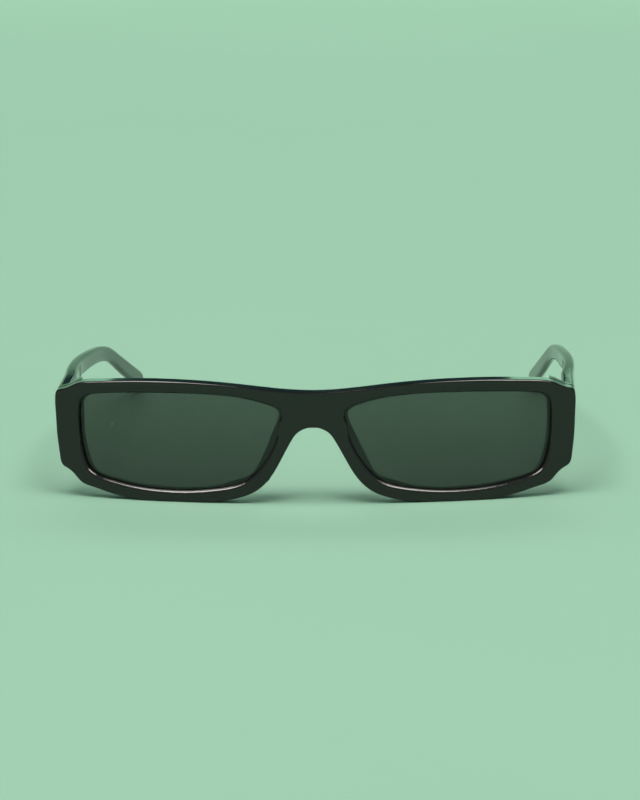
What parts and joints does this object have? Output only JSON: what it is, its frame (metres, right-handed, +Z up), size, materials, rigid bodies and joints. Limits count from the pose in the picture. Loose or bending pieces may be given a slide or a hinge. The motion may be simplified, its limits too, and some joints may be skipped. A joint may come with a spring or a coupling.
{
  "type": "sunglasses",
  "caption": "Narrow rectangle sunglasses with a curved black front, keyed end pieces, dark lenses and slim folding temples.",
  "frame": {"origin": "middle of the footprint of the open glasses, on the surface that the lower rims and the temple tips rest on", "axes": "+X along the front towards the wearer's left side, +Y from the front to the ears, +Z up"},
  "size_m": [0.144, 0.1454, 0.0338],
  "materials": {
    "acetate": "polished black",
    "lens": "dark grey-green tint",
    "hinge_metal": "satin nickel silver",
    "screw_metal": "polished steel",
    "core_metal": "drawn wire"
  },
  "bodies": {
    "front": {"front_frame": "acetate", "end_block_left": "acetate", "end_block_right": "acetate", "nose_pad_left": "acetate", "nose_pad_right": "acetate", "lens_left": "lens", "lens_right": "lens", "front_hinge_leaf_left": "hinge_metal", "front_hinge_leaf_right": "hinge_metal", "hinge_screw_left": "screw_metal", "hinge_screw_right": "screw_metal"},
    "left_temple": {"temple_left": "acetate", "temple_hinge_leaf_left": "hinge_metal", "core_wire_left": "core_metal"},
    "right_temple": {"temple_right": "acetate", "temple_hinge_leaf_right": "hinge_metal", "core_wire_right": "core_metal"}
  },
  "joints": [
    {"name": "left_temple_fold", "type": "hinge", "parent": "front", "child": "left_temple", "pos_m": [0.0663, -0.05482, 0.0228], "axis": [0, 0, 1], "range_deg": [0, 87]},
    {"name": "right_temple_fold", "type": "hinge", "parent": "front", "child": "right_temple", "pos_m": [-0.0663, -0.05482, 0.0228], "axis": [0, 0, -1], "range_deg": [0, 80]}
  ]
}
